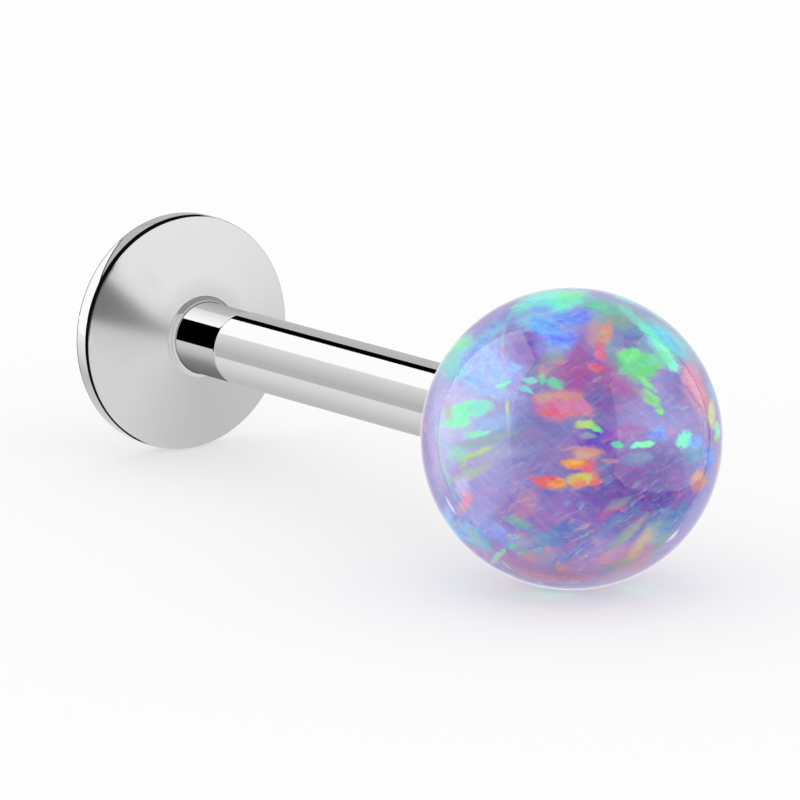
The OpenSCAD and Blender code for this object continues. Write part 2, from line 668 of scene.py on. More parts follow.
# soft clouds in the body: x, y, half width, half height, turn, colour and strength,
# in ball radii on the face that the photo shows
clouds = [
    (-0.6, 0.42, 0.3, 0.17, -20, "azurepale", 0.55),
    (-0.72, 0.18, 0.22, 0.14, 5, "seafoam", 0.45),
    (-0.55, -0.04, 0.28, 0.14, 12, "seafoam", 0.2),
    (-0.76, 0.54, 0.14, 0.18, 35, "aqua", 0.35),
    (-0.7, -0.52, 0.2, 0.2, -20, "azurepale", 0.35),
    (0.78, -0.3, 0.2, 0.24, 0, "azurepale", 0.12),
    (0.5, -0.02, 0.26, 0.12, 10, "azurepale", 0.15),
    (0.66, 0.62, 0.22, 0.1, -45, "aqua", 0.5),
    (-0.2, 0.46, 0.14, 0.12, 0, "sage", 0.45),
    (0.25, 0.8, 0.22, 0.1, -25, "seagreen", 0.4),
    (0.3, 0.55, 0.1, 0.18, 10, "seagreen", 0.35),
    (0.0, 0.16, 0.24, 0.06, 5, "sage", 0.35),
    (-0.1, -0.85, 0.35, 0.1, 0, "pink", 0.25),
    (0.52, -0.7, 0.2, 0.1, 32, "rosetan", 0.25),
    (-0.67, 0.3, 0.33, 0.29, 0, "lilac", 0.55),
    (-0.61, -0.3, 0.23, 0.3, -20, "lilac", 0.45),
    (-0.94, -0.07, 0.1, 0.52, 6, "violet", 0.8),
    (-0.22, 0.04, 0.2, 0.25, 0, "slate", 0.75),
    (-0.12, -0.19, 0.26, 0.19, 10, "dusk", 0.6),
    (0.17, 0.39, 0.26, 0.15, -25, "plum", 0.75),
    (0.02, 0.43, 0.11, 0.18, -20, "plum", 0.7),
    (0.63, 0.19, 0.3, 0.3, 0, "lavender", 0.5),
    (0.42, -0.14, 0.23, 0.15, 5, "dusk", 0.5),
    (0.45, -0.44, 0.41, 0.15, 6, "deep", 0.6),
    (-0.02, -0.55, 0.3, 0.17, 20, "violet", 0.6),
    (0.06, -0.76, 0.46, 0.21, 0, "dusk", 0.3),
    (0.13, 0.92, 0.23, 0.07, -10, "lavender", 0.8),
    (-0.26, 0.58, 0.1, 0.12, -25, "deep", 0.8),
    (0.39, 0.7, 0.15, 0.09, -30, "slate", 0.8),
    (0.19, 0.0, 0.13, 0.08, 8, "indigo", 0.8),
    (0.18, 0.23, 0.1, 0.12, 0, "slate", 0.7),
    (0.77, 0.3, 0.06, 0.21, 25, "dusk", 0.6),
    (-0.3, -0.47, 0.18, 0.1, -15, "dusk", 0.5),
    (0.46, -0.3, 0.36, 0.24, 0, "grape", 0.75),
    (0.22, -0.2, 0.18, 0.16, 0, "grape", 0.45),
    (0.56, -0.12, 0.2, 0.12, 0, "grape", 0.4),
    (-0.86, -0.02, 0.09, 0.36, 0, "mist", 0.55),
    (-0.76, 0.16, 0.18, 0.24, 0, "mist", 0.5),
    (0.72, 0.36, 0.08, 0.14, 20, "grape", 0.45),
    (-0.12, 0.6, 0.1, 0.07, 0, "periwinkle", 0.5),
    (0.24, 0.24, 0.12, 0.12, 0, "grape", 0.5),
    (-0.24, -0.72, 0.14, 0.08, -20, "ash", 0.6),
    (0.36, -0.84, 0.16, 0.06, 30, "ash", 0.5),
]

# flakes of colour, with the softness of their edges last
flakes = [
    (-0.62, 0.48, 0.26, 0.13, -22, "periwinkle", 0.9, 0.9),
    (-0.55, 0.33, 0.22, 0.05, -22, "periwinkle", 0.7, 0.9),
    (-0.76, 0.52, 0.12, 0.16, 40, "seafoam", 0.8, 0.9),
    (-0.47, 0.72, 0.12, 0.1, 35, "azurepale", 0.2, 0.9),
    (-0.5, 0.1, 0.18, 0.05, 8, "azurepale", 0.5, 0.9),
    (-0.58, -0.02, 0.22, 0.03, 14, "sage", 0.7, 0.9),
    (-0.52, -0.12, 0.24, 0.04, 14, "ash", 0.4, 0.9),
    (-0.66, -0.24, 0.14, 0.03, 16, "lime", 0.45, 0.9),
    (0.81, 0.34, 0.08, 0.18, 25, "pink", 0.65, 0.8),
    (0.89, 0.18, 0.05, 0.12, 6, "gold", 0.3, 0.8),
    (0.42, -0.74, 0.17, 0.04, 44, "tan", 0.65, 1.2),
    (0.5, -0.64, 0.15, 0.03, 46, "gold", 0.55, 1.2),
    (0.33, -0.66, 0.15, 0.03, 46, "sage", 0.8, 1.1),
    (0.59, -0.62, 0.12, 0.03, 46, "seafoam", 0.6, 1.1),
    (0.24, -0.8, 0.15, 0.03, 40, "pink", 0.6, 1.1),
    (-0.05, -0.9, 0.26, 0.05, 4, "tan", 0.35, 0.9),
    (-0.32, -0.84, 0.16, 0.05, -20, "rosetan", 0.4, 0.9),
    (-0.14, -0.66, 0.18, 0.05, 30, "teal", 0.7, 0.9),
    (0.02, -0.74, 0.2, 0.04, 28, "teal", 0.5, 0.9),
    (0.3, -0.52, 0.16, 0.04, 34, "teal", 0.5, 0.9),
    (-0.44, -0.64, 0.14, 0.06, -24, "azurepale", 0.3, 0.9),
    (-0.62, -0.66, 0.1, 0.05, -35, "seafoam", 0.7, 0.8),
    (0.28, 0.84, 0.2, 0.05, -18, "seagreen", 0.6, 0.9),
    (0.34, 0.66, 0.16, 0.07, -28, "slate", 0.6, 0.9),
    (0.46, 0.64, 0.18, 0.04, -38, "teal", 0.6, 0.9),
    (-0.14, 0.89, 0.22, 0.12, 8, "aqua", 1, 0.6),
    (-0.01, 0.93, 0.08, 0.05, 0, "mint", 0.9, 0.6),
    (-0.24, 0.8, 0.13, 0.08, 20, "azurepale", 1, 0.7),
    (0.0, 0.79, 0.12, 0.07, 12, "azure", 0.9, 0.8),
    (-0.15, 0.7, 0.14, 0.06, -28, "skyblue", 1, 0.6),
    (-0.03, 0.66, 0.06, 0.06, 0, "azure", 0.7, 0.9),
    (0.16, 0.87, 0.07, 0.02, -8, "seagreen", 0.9, 0.5),
    (0.39, 0.91, 0.12, 0.03, -22, "seafoam", 0.9, 0.7),
    (0.53, 0.85, 0.1, 0.02, -35, "seafoam", 0.8, 0.7),
    (0.43, 0.77, 0.15, 0.03, -35, "seafoam", 0.8, 0.6),
    (0.55, 0.66, 0.14, 0.05, -48, "aqua", 0.8, 0.6),
    (0.63, 0.52, 0.1, 0.03, -50, "aqua", 0.9, 0.5),
    (0.62, 0.66, 0.12, 0.03, -48, "sky", 0.9, 0.6),
    (0.7, 0.57, 0.07, 0.02, -52, "sky", 0.5, 0.6),
    (0.29, 0.77, 0.1, 0.04, -10, "sage", 0.8, 0.8),
    (0.43, 0.48, 0.14, 0.1, -12, "green", 1, 0.5),
    (0.56, 0.52, 0.07, 0.06, 0, "seagreen", 0.7, 0.6),
    (0.37, 0.55, 0.07, 0.05, 10, "leaf", 0.9, 0.6),
    (0.49, 0.36, 0.07, 0.02, -28, "leaf", 0.9, 0.5),
    (0.51, 0.26, 0.07, 0.04, -40, "leaf", 0.95, 0.5),
    (0.57, 0.17, 0.03, 0.02, -20, "leaf", 1, 0.5),
    (0.45, 0.29, 0.12, 0.02, -30, "sage", 0.7, 0.8),
    (0.14, 0.69, 0.05, 0.08, 5, "tan", 0.6, 0.9),
    (0.22, 0.7, 0.05, 0.07, -10, "tan", 1, 0.6),
    (0.18, 0.58, 0.04, 0.06, -10, "coral", 0.8, 0.6),
    (0.15, 0.46, 0.05, 0.03, 5, "coral", 0.8, 0.6),
    (-0.07, 0.5, 0.06, 0.02, 10, "rosetan", 0.7, 0.6),
    (-0.12, 0.54, 0.08, 0.04, 0, "sage", 0.6, 0.8),
    (-0.19, 0.43, 0.03, 0.05, -10, "rosetan", 0.7, 0.6),
    (-0.1, 0.35, 0.06, 0.03, -20, "seagreen", 0.85, 0.6),
    (0.03, 0.34, 0.05, 0.08, -20, "plum", 0.8, 0.6),
    (0.32, 0.33, 0.12, 0.04, -22, "plum", 0.8, 0.7),
    (-0.1, 0.21, 0.14, 0.08, 0, "mauve", 1, 0.6),
    (0.05, 0.22, 0.1, 0.05, -30, "mauve", 0.9, 0.6),
    (-0.08, 0.17, 0.1, 0.03, 0, "coral", 0.6, 0.9),
    (-0.17, 0.27, 0.09, 0.03, 10, "tan", 0.9, 0.8),
    (-0.02, 0.29, 0.08, 0.03, 0, "tan", 0.8, 0.8),
    (0.1, 0.09, 0.06, 0.03, 5, "lime", 1, 0.5),
    (0.16, 0.07, 0.04, 0.02, -20, "leaf", 0.9, 0.5),
    (0.1, 0.02, 0.05, 0.02, 0, "sage", 0.8, 0.7),
    (0.3, -0.03, 0.04, 0.02, 0, "seagreen", 0.9, 0.5),
    (0.46, -0.04, 0.07, 0.02, 8, "mint", 1, 0.5),
    (0.42, -0.12, 0.1, 0.04, 10, "seafoam", 0.25, 0.8),
    (0.38, 0.05, 0.08, 0.05, 0, "plum", 0.6, 0.8),
    (0.57, 0.03, 0.07, 0.04, 10, "azure", 0.8, 0.7),
    (0.66, 0.05, 0.02, 0.02, 0, "rosetan", 0.8, 0.7),
    (0.11, -0.09, 0.09, 0.04, 0, "tan", 0.9, 0.6),
    (0.03, -0.06, 0.09, 0.01, 0, "rosetan", 0.8, 0.7),
    (0.03, -0.15, 0.08, 0.04, 0, "orange", 1, 0.5),
    (0.13, -0.19, 0.05, 0.06, 0, "coral", 0.95, 0.6),
    (-0.15, -0.28, 0.1, 0.04, 4, "coral", 0.95, 0.6),
    (-0.09, -0.3, 0.07, 0.04, 0, "orange", 1, 0.6),
    (0.07, -0.27, 0.11, 0.05, 4, "yellow", 1, 0.5),
    (0.06, -0.3, 0.05, 0.04, 0, "orange", 0.9, 0.7),
    (0.17, -0.28, 0.03, 0.05, 0, "coral", 0.9, 0.6),
    (0.21, -0.17, 0.06, 0.07, 0, "slate", 0.8, 0.7),
    (0.25, -0.14, 0.05, 0.02, 0, "rosetan", 0.7, 0.7),
    (-0.69, 0.18, 0.15, 0.05, 7, "mint", 1, 0.45),
    (-0.76, 0.1, 0.09, 0.04, 0, "mint", 0.95, 0.5),
    (-0.61, 0.19, 0.08, 0.04, 8, "seafoam", 0.8, 0.6),
    (-0.62, 0.03, 0.08, 0.02, 12, "mint", 0.8, 0.6),
    (-0.74, -0.1, 0.06, 0.05, 20, "mint", 0.45, 0.8),
    (-0.59, -0.09, 0.09, 0.02, 18, "lime", 0.85, 0.6),
    (-0.71, -0.17, 0.03, 0.05, -10, "lime", 0.4, 0.9),
    (-0.82, 0.18, 0.03, 0.07, 0, "rosetan", 0.5, 0.9),
    (-0.59, 0.63, 0.18, 0.06, 38, "azurepale", 0.8, 0.8),
    (-0.72, 0.59, 0.1, 0.05, 48, "seafoam", 0.9, 0.7),
    (-0.75, 0.62, 0.06, 0.03, 48, "mint", 0.8, 0.7),
    (-0.56, 0.47, 0.19, 0.08, -22, "periwinkle", 0.8, 0.7),
    (-0.64, 0.39, 0.08, 0.02, -24, "skyblue", 0.6, 0.8),
    (-0.63, 0.53, 0.12, 0.06, 10, "periwinkle", 0.8, 0.9),
    (-0.38, 0.47, 0.07, 0.03, -10, "periwinkle", 0.7, 0.8),
    (-0.45, 0.34, 0.04, 0.02, 15, "mint", 0.9, 0.6),
    (-0.41, 0.37, 0.02, 0.01, 20, "mint", 0.9, 0.6),
    (-0.27, 0.38, 0.05, 0.02, -8, "seafoam", 1, 0.6),
    (-0.3, 0.32, 0.05, 0.02, -32, "seafoam", 0.9, 0.6),
    (-0.42, 0.2, 0.01, 0.05, 0, "lime", 0.8, 0.6),
    (-0.35, 0.19, 0.06, 0.08, 0, "lavender", 0.5, 0.9),
    (-0.19, 0.38, 0.02, 0.05, 10, "seagreen", 0.8, 0.6),
    (0.77, 0.41, 0.05, 0.08, 28, "pink", 0.8, 0.7),
    (0.83, 0.3, 0.04, 0.11, 22, "pink", 0.9, 0.7),
    (0.9, 0.22, 0.03, 0.08, 12, "rosetan", 0.7, 0.8),
    (0.93, 0.17, 0.03, 0.09, 5, "gold", 0.95, 0.6),
    (0.97, 0.06, 0.02, 0.06, 0, "mint", 0.95, 0.5),
    (0.92, 0.33, 0.02, 0.08, 15, "sky", 0.7, 0.7),
    (0.95, 0.0, 0.02, 0.02, 0, "lime", 0.9, 0.6),
    (0.74, 0.01, 0.04, 0.05, 0, "aqua", 1, 0.5),
    (0.81, -0.01, 0.05, 0.05, 0, "azure", 0.9, 0.6),
    (0.78, -0.11, 0.06, 0.06, 0, "teal", 0.7, 0.7),
    (0.87, -0.09, 0.03, 0.04, 0, "teal", 0.9, 0.6),
    (0.9, -0.12, 0.03, 0.06, 0, "azure", 0.9, 0.6),
    (0.83, -0.26, 0.05, 0.05, 10, "tan", 1, 0.5),
    (0.81, -0.29, 0.03, 0.03, 0, "rosetan", 0.9, 0.6),
    (0.97, -0.17, 0.02, 0.06, -8, "tan", 0.8, 0.6),
    (0.63, -0.55, 0.11, 0.08, 30, "teal", 0.7, 0.9),
    (0.72, -0.47, 0.07, 0.04, 50, "teal", 0.7, 0.8),
    (0.56, -0.72, 0.12, 0.03, 46, "sage", 0.65, 1.1),
    (0.46, -0.8, 0.12, 0.03, 46, "rosetan", 0.7, 1.1),
    (0.43, -0.58, 0.1, 0.02, 46, "lime", 0.4, 1.1),
    (0.26, -0.46, 0.11, 0.02, 34, "rose", 0.45, 0.9),
    (0.31, -0.41, 0.1, 0.02, 34, "sage", 0.5, 0.9),
    (0.1, -0.61, 0.12, 0.04, 30, "slate", 0.6, 0.8),
    (-0.05, -0.57, 0.07, 0.02, 20, "teal", 0.6, 0.8),
    (-0.7, -0.42, 0.04, 0.07, -28, "pink", 1, 0.6),
    (-0.72, -0.32, 0.05, 0.07, -20, "mist", 0.5, 0.8),
    (-0.75, -0.59, 0.1, 0.05, -38, "sky", 0.7, 0.7),
    (-0.83, -0.51, 0.04, 0.08, -25, "periwinkle", 0.7, 0.8),
    (-0.52, -0.61, 0.08, 0.05, -20, "periwinkle", 0.45, 0.7),
    (-0.3, -0.43, 0.06, 0.08, -20, "rosetan", 0.55, 0.9),
    (-0.35, -0.55, 0.08, 0.03, -25, "seagreen", 0.5, 0.9),
    (-0.38, -0.7, 0.04, 0.02, -10, "seagreen", 0.8, 0.6),
    (-0.3, -0.73, 0.08, 0.02, -20, "sage", 0.7, 0.7),
    (-0.28, -0.77, 0.06, 0.02, -15, "rosetan", 0.8, 0.6),
    (-0.17, -0.72, 0.02, 0.03, -20, "rosetan", 0.8, 0.6),
    (-0.21, -0.63, 0.07, 0.02, -20, "teal", 0.6, 0.7),
    (-0.48, -0.77, 0.02, 0.07, -35, "mint", 0.7, 0.6),
    (-0.43, -0.83, 0.04, 0.01, -50, "lime", 0.6, 0.6),
    (-0.13, -0.94, 0.09, 0.02, -4, "rosetan", 0.6, 0.6),
    (-0.19, -0.9, 0.08, 0.02, -10, "rosetan", 0.6, 0.8),
    (0.03, -0.93, 0.05, 0.02, 8, "rosetan", 0.8, 0.6),
    (0.14, -0.86, 0.12, 0.03, 14, "fog", 0.7, 0.8),
    (0.3, -0.83, 0.11, 0.02, 24, "sage", 0.5, 0.8),
]


# thin lines on the ball: the first a line of colours, the second a painted pale reflection edge, the third
# a painted dark reflection edge; each point gives x and y on the shown face, colour and strength, from the
# top down
linesAndPaintedReflections = [
    [
        (-0.322, 0.932, "mint", 0.31), (-0.380, 0.869, "aqua", 0.37), (-0.412, 0.8, "seafoam", 0.37),
        (-0.443, 0.731, "lilac", 0.37), (-0.454, 0.662, "aqua", 0.31), (-0.457, 0.57, "pink", 0.43),
        (-0.443, 0.455, "lilac", 0.5), (-0.457, 0.363, "mint", 0.5), (-0.431, 0.283, "lilac", 0.37),
        (-0.422, 0.202, "gold", 0.56), (-0.412, 0.01, "lilac", 0.14), (-0.389, -0.194, "lilac", 0.14),
        (-0.310, -0.375, "pink", 0.18), (-0.230, -0.511, "lilac", 0.22), (-0.151, -0.602, "sage", 0.15),
    ],
    [
        # a painted pale reflection edge down the left side
        (-0.870, 0.18, "lilac", 0.31), (-0.877, 0.056, "seafoam", 0.43), (-0.854, -0.149, "mint", 0.43),
        (-0.775, -0.374, "seafoam", 0.43), (-0.616, -0.6, "sky", 0.37), (-0.48, -0.805, "seafoam", 0.31),
    ],
    [
        # a painted dark reflection edge down the right side
        (0.62, 0.42, "deep", 0.0), (0.654, 0.395, "deep", 0.43), (0.745, 0.35, "indigo", 0.5),
        (0.858, 0.19, "deep", 0.5), (0.904, 0.056, "slate", 0.5), (0.884, -0.08, "deep", 0.37),
        (0.858, -0.17, "deep", 0.19),
    ],
]


def linear(name):
    parts = [v / 255 for v in opal[name]]
    return [((v + 0.055) / 1.055) ** 2.4 / opal["level"] if v > 0.04045 else v / 12.92 for v in parts]


def spot(f, below, coords, frayed, x, y, wide, tall, turn, colour, strength, soft):
    # coords are turned by that angle already, so the flake's middle is turned too
    angle = math.radians(turn)
    across = x * math.cos(angle) + y * math.sin(angle)
    up = y * math.cos(angle) - x * math.sin(angle)
    deep = math.sqrt(max(opal["leastHeight"], 1 - x * x - y * y))
    scale = (1 / wide, 1 / tall, 1 / opal["depth"])
    shift = (-across / wide, -up / tall, -deep / opal["depth"])
    local = f.add("ShaderNodeVectorMath", {"operation": "MULTIPLY_ADD"}, {0: coords, 1: scale, 2: shift})
    reach = f.length(local) + frayed
    soft = soft * opal["softer"] / 2
    return f.blend(f.ramp(reach, 1 + soft, 1 - soft, 0, strength), below, linear(colour))


def flow(f, coords, degrees):  # fine threads that run at that angle on the shown face
    threads = f.stretch(f.swing(coords, -degrees), opal["threadScale"])
    return (f.noise(threads, 1.0, 4.0, 0.62) - 0.5) * (opal["thread"] * 2)


def lineRamp(f, points, height, shade):  # one stop for each of the line's points, from the bottom up
    top, bottom = points[0][1], points[-1][1]
    stops = [((y - bottom) / (top - bottom), shade(x, name, strength)) for x, y, name, strength in points]
    return f.add("ShaderNodeValToRGB", {"stops": stops[::-1]}, {0: height})


def thinLine(f, body, y, x, ragged, points):
    # a thin line down the face; its place, colour and strength change with the height
    top, bottom = points[0][1], points[-1][1]
    height = (y - bottom) / (top - bottom)
    curve = lineRamp(f, points, height, lambda place, name, strength: (place + 1,) * 3)
    tint = lineRamp(f, points, height, lambda place, name, strength: linear(name))
    share = lineRamp(f, points, height, lambda place, name, strength: (strength,) * 3)
    away = f.add("ShaderNodeMath", {"operation": "ABSOLUTE"}, {0: x + 1 - curve})
    near = f.ramp(away + ragged * opal["lineWander"], opal["lineWidth"], 0)
    return f.blend(near * share * (height > 0) * (height < 1), body, tint)


def palette(f, names, first, step, pick):  # one of the colours, picked by a number
    stops = [(first + step * i, linear(name)) for i, name in enumerate(names)]
    return f.add("ShaderNodeValToRGB", {"stops": stops}, {0: pick})


def speckles(f, body, coords, threads):  # fine streaks of many colours, thickest low on the shown face
    pick = f.noise(f.stretch(coords, opal["speckleScale"]), 1.0, 3.0, 0.7)
    tint = palette(f, speckleColours, *opal["speckleStops"], pick)
    low = f.ramp(f.split(coords)[1], *opal["speckleLow"])
    patchy = f.ramp(f.noise(coords, opal["patchScale"], 3.0, 0.6), *opal["patchFrom"])
    return f.blend(f.ramp(threads, *opal["speckleFrom"]) * patchy * low, body, tint)


def otherSides(f, body, coords, frayed):  # scattered flakes where the photo shows none
    away = f.ramp(f.split(coords)[2], *opal["otherSidesFrom"])
    for scale, degrees, shape, share in otherLayers:
        sockets = {"Vector": f.stretch(f.swing(coords, degrees), shape), "Scale": scale, "Randomness": 1.0}
        cell = f.add("ShaderNodeTexVoronoi", {"feature": "F1"}, sockets)
        size, chance, pick = f.split(Wire(f, cell.socket.node.outputs["Color"]))
        tint = palette(f, otherColours, *opal["otherStops"], pick)
        reach = cell + frayed * opal["otherFrayed"] - size * opal["otherSize"]
        flake = f.ramp(reach, *opal["otherEdge"]) * f.ramp(chance, *opal["otherChance"])
        body = f.blend(flake * away * share, body, tint)
    return body


def warp(f, coords, scale, detail, roughness):  # a shift to and fro along each axis
    return f.vector("SUBTRACT", f.noise(coords, scale, detail, roughness, "Color"), (0.5, 0.5, 0.5))


def opalFinish():
    f = Finish("opal flakes")
    coords = f.place(faceMatrix, ball["radius"] * mm)
    wide = warp(f, coords, opal["wideScale"], 2.0, 0.5)
    fine = warp(f, coords, opal["fineScale"], 3.0, 0.6)
    warped = f.vector("ADD", coords, f.vector("MULTIPLY", wide, (opal["wideWarp"],) * 3))
    warped = f.vector("ADD", warped, f.vector("MULTIPLY", fine, (opal["fineWarp"],) * 3))
    ragged = (f.noise(coords, opal["raggedScale"], 4.0, 0.65) - 0.5) * opal["ragged"]
    level, falling, rising = [flow(f, warped, degrees) for degrees in opal["threadTurns"]]
    frays = [ragged + level, ragged + falling, ragged + rising]
    pale = f.ramp(f.noise(warped, opal["paleScale"], 3.0, 0.5), *opal["paleFrom"])
    body = f.blend(pale, linear("violet"), linear("lavender"))
    body = f.blend(f.ramp(level, *opal["duskFrom"]), body, linear("dusk"))
    calm = (ragged + level) * 0.5
    turns = {0: warped}
    for x, y, wide, tall, turn, colour, strength, *soft in clouds + flakes:
        turn = round(turn / opal["turnStep"]) * opal["turnStep"]
        if turn not in turns:
            turns[turn] = f.swing(warped, -turn)
        frayed = frays[1] if turn < -opal["steep"] else frays[2] if turn > opal["steep"] else frays[0]
        if not soft:  # a cloud
            frayed, soft = calm, [1.0]
        body = spot(f, body, turns[turn], frayed, x, y, wide, tall, turn, colour, strength, soft[0])
    body = speckles(f, body, warped, rising)
    body = otherSides(f, body, warped, ragged + level)
    x, y, z = f.split(coords)
    # thin lines on the ball; the second and third are painted reflection edges
    for points in linesAndPaintedReflections:
        body = thinLine(f, body, y, x, ragged, points)
    shift = f.noise(f.stretch(coords, opal["hueScale"]), 1.0, 3.0, 0.6) - 0.5
    broad = f.noise(coords, opal["broadScale"], 2.0, 0.5) - 0.5
    sockets = {
        "Hue": 0.5 + shift * opal["hueShift"] + broad * opal["hueShift"],
        "Saturation": 1.0 + falling * opal["saturationShift"],
        "Value": 1.0 + (level + rising) * opal["valueShift"],
        "Color": body,
    }
    f.set(**{
        "Base Color": f.add("ShaderNodeHueSaturation", None, sockets),
        "Roughness": ball["rough"] + ragged * opal["roughDepth"],
        "Specular IOR Level": 0.0,
        "Coat Weight": 1.0,
        "Coat Roughness": ball["coatRough"],
    })
    return f


ballPiece = turned("opalBall", ballSection(), ball["sides"])
dress(ballPiece, opalFinish(), "ball_top", "opal", "opal_ball")


# the floor

floor = {
    "size": 1.5,
    "pale": (0.54, 0.54, 0.54),
    "paler": (0.55, 0.55, 0.55),
    "mottle": 0.03,
    "rough": 0.9,
    "glow": 0.44,
}


def makeFloor():
    mesh = bmesh.new()
    bmesh.ops.create_grid(mesh, x_segments=8, y_segments=8, size=floor["size"])
    data = bpy.data.meshes.new("floor")
    mesh.to_mesh(data)
    mesh.free()
    obj = bpy.data.objects.new("floor", data)
    bpy.context.scene.collection.objects.link(obj)
    f = Finish("pale floor")
    mottle = f.noise(f.place(), floor["mottle"], 2.0, 0.5)
    f.set(**{
        "Base Color": f.blend(mottle, floor["pale"], floor["paler"]),
        "Roughness": floor["rough"],
        "Specular IOR Level": 0.0,
        "Emission Color": (1, 1, 1),
        "Emission Strength": floor["glow"],
    })
    data.materials.append(f.material)
    obj.visible_glossy = False


makeFloor()
print("floor is laid")


# studio light: each piece has its own panels, so that its reflections can be set apart from the others'

def only(name, *objs):
    group = bpy.data.collections.new(name)
    for obj in objs:
        group.objects.link(obj)
    return group


class Glow(Sheet):
    def __init__(self, data):
        super().__init__(data, "Emission")

    def set(self, strength):
        self.feed(self.surface.inputs["Strength"], strength)

    def spread(self):  # 0 to 1 across the panel, and 0 to 1 along it
        return self.split(self.add("ShaderNodeNewGeometry", out="Parametric"))[:2]


def panel(name, spot, across, along, width, height, pattern, group, seen):
    data = bpy.data.lights.new(name, "AREA")
    data.shape = "RECTANGLE"
    data.size = width * mm
    data.size_y = height * mm
    data.energy = math.pi * width * height * mm * mm  # so that the strength is the panel's brightness
    glow = Glow(data)
    glow.set(pattern(glow) if callable(pattern) else pattern)
    obj = bpy.data.objects.new(name, data)
    bpy.context.scene.collection.objects.link(obj)
    turn = Matrix((across, along, across.cross(along))).transposed().to_4x4()
    obj.matrix_world = Matrix.Translation(spot) @ turn
    obj.visible_camera = False
    obj.visible_glossy = seen != "diffuse"
    obj.visible_diffuse = seen != "glossy"
    obj.light_linking.receiver_collection = group
    obj.light_linking.blocker_collection = group


def fading(bright, fade):  # from one brightness to another across the panel
    return lambda glow: bright + (fade - bright) * glow.spread()[0]


def around(degrees):  # the direction away from the line: 0 on the camera's side, 90 below
    return side * math.cos(math.radians(degrees)) + under * math.sin(math.radians(degrees))


# bands of light: flat panels round the stud's line
bands = {
    "distance": 60,
    "widest": 46,  # the most degrees that one flat panel covers
    "end": 180,  # the bands run this far before and behind the disc, where a panel closes them
    "endSize": 120,
}


def strips(name, group, stops, rear=-bands["end"], front=bands["end"]):
    # panels along the line; stops are degrees round the line and the brightness there
    distance = bands["distance"]
    for i, (first, last) in enumerate(zip(stops, stops[1:])):
        count = max(1, math.ceil((last[0] - first[0]) / bands["widest"]))
        for k in range(count):
            low, high = k / count, (k + 1) / count
            start = first[0] + (last[0] - first[0]) * low
            end = first[0] + (last[0] - first[0]) * high
            outward = around((start + end) / 2)
            width = 2 * distance * math.tan(math.radians((end - start) / 2))
            spot = backCentre + (line * (rear + front) / 2 + outward * distance) * mm
            glowing = fading(first[1] + (last[1] - first[1]) * low, first[1] + (last[1] - first[1]) * high)
            across = line.cross(outward)
            panel(f"{name}{i}{k}", spot, across, line, width, front - rear, glowing, group, "glossy")


def endPanel(name, group, ahead, bright):  # closes the bands at one end
    spot = backCentre + line * (bands["end"] if ahead else -bands["end"]) * mm
    size = bands["endSize"]
    panel(name, spot, side, under if ahead else -under, size, size, bright, group, "glossy")


postOnly = only("post light", postPiece, pinPiece)
neckOnly = only("neck light", neckPiece)
collarOnly = only("collar light", collarPiece)
discOnly = only("disc light", discPiece)
ballOnly = only("ball light", ballPiece)

postLight = {
    "postA": [(-180, 0.56), (-105, 0.56)],
    "postB": [(-84.6, 1.2), (-25.6, 1.2)],
    "postC": [(-25.6, 0.86), (28, 0.56), (47.4, 0.555)],
    "postD": [(47.4, 0.87), (60, 0.84), (82, 0.753), (109, 0.627), (133, 0.57), (180, 0.53)],
}
for name, stops in postLight.items():
    strips(name, postOnly, stops)
endPanel("postEnd", postOnly, False, 0.75)

neckLight = {
    "neckA": [(-180, 0.35), (-127, 0.50), (-92, 0.65)],
    "neckB": [(-92, 0.87), (-78, 0.97), (-42, 1.22)],
    "neckC": [(30, 0.72), (50, 0.644), (63.5, 0.536), (78, 0.365), (95, 0.256), (115, 0.206), (180, 0.13)],
}
for name, stops in neckLight.items():
    strips(name, neckOnly, stops)

strips("collarA", collarOnly, [(-160, 0.36), (-42, 0.33)], rear=0)
strips("collarB", collarOnly, [(-160, 0.50), (-42, 0.54)], front=0)
strips("collarC", collarOnly, [(-42, 0.66), (0, 0.66), (60, 0.72), (120, 0.82), (200, 0.76)])
endPanel("collarEnd", collarOnly, True, 0.66)

# behind the disc's face: what the rim and the back reflect
strips("rimA", discOnly, [(-180, 0.58), (-104, 0.58)], front=0)
strips("rimC", discOnly, [(14, 1.25), (28, 1.25)], front=0)
strips("rimD", discOnly, [(28, 1.1), (68, 0.62), (180, 0.90)], front=0)

rimLight = {
    "degrees": -44,
    "along": -130,
    "width": 207.8,
    "height": 260,
    "cross": (0.403, -1.141),  # a point on the hairline: its angle across the panel, and its slope along it
    "slant": (0.469, 0.883),
    "half": 0.026,
    "white": 1.25,
    "grey": 0.58,
    "hairline": 0.01,
}


def rimPattern(glow):  # a slanting hairline between a grey and a white part
    u, v = glow.spread()
    u = (u - 0.5) * rimLight["width"]
    v = (v - 1) * rimLight["height"]
    turn = glow.add("ShaderNodeMath", {"operation": "ARCTANGENT"}, {0: u / bands["distance"]})
    slope = v / (u * u + bands["distance"] ** 2) ** 0.5
    past = (turn - rimLight["cross"][0]) * rimLight["slant"][0]
    past = past - (slope - rimLight["cross"][1]) * rimLight["slant"][1]
    bright = (past > rimLight["half"]) * rimLight["white"] + (past < -rimLight["half"]) * rimLight["grey"]
    return bright + rimLight["hairline"]


outward = around(rimLight["degrees"])
rimSpot = backCentre + (line * rimLight["along"] + outward * bands["distance"]) * mm
rimSize = (rimLight["width"], rimLight["height"])
panel("rimB", rimSpot, line.cross(outward), line, *rimSize, rimPattern, discOnly, "glossy")
endPanel("backPanel", discOnly, False, fading(0.8, 0.65))

# before the disc's face: what the dome reflects
domeStops = [(30, 0.76), (98, 0.84), (114, 0.82), (136, 0.71), (150, 0.64), (180, 0.70)]
strips("domeA", discOnly, domeStops, rear=0)
strips("domeB", discOnly, [(-180, 0.76), (-168, 0.845), (-160, 0.92), (-138, 0.99), (-60, 1.0)], rear=0)
strips("domeC", discOnly, [(-60, 0.9), (30, 0.7)], 0, 60)

